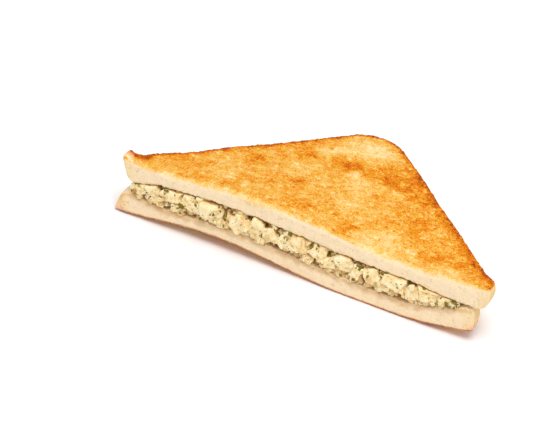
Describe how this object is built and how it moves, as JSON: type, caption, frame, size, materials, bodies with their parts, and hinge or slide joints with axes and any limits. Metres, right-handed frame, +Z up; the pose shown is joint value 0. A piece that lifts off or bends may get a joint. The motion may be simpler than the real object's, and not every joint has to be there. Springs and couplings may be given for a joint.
{
  "type": "toasted chicken sandwich half",
  "caption": "Triangular half of a toasted sandwich: thin golden slices of white bread round a filling of diced chicken in mayonnaise with herbs, open along the straight cut.",
  "frame": {"origin": "middle of the sandwich's bounding box at its base, where it stands on a table", "axes": "+X along the cut from the left tip to the right tip, +Y from the cut back to the slices' whole corner, +Z up; the cut face looks along -Y"},
  "size_m": [0.1468, 0.0744, 0.0257],
  "materials": {
    "toasted_bread": "dry griddled white bread, golden brown on its outer face and cream on the cut",
    "chicken_filling": "moist diced chicken bound with mayonnaise and chopped herbs"
  },
  "bodies": {
    "root": {"top_slice": "toasted_bread", "chicken_filling": "chicken_filling", "bottom_slice": "toasted_bread"}
  },
  "joints": []
}
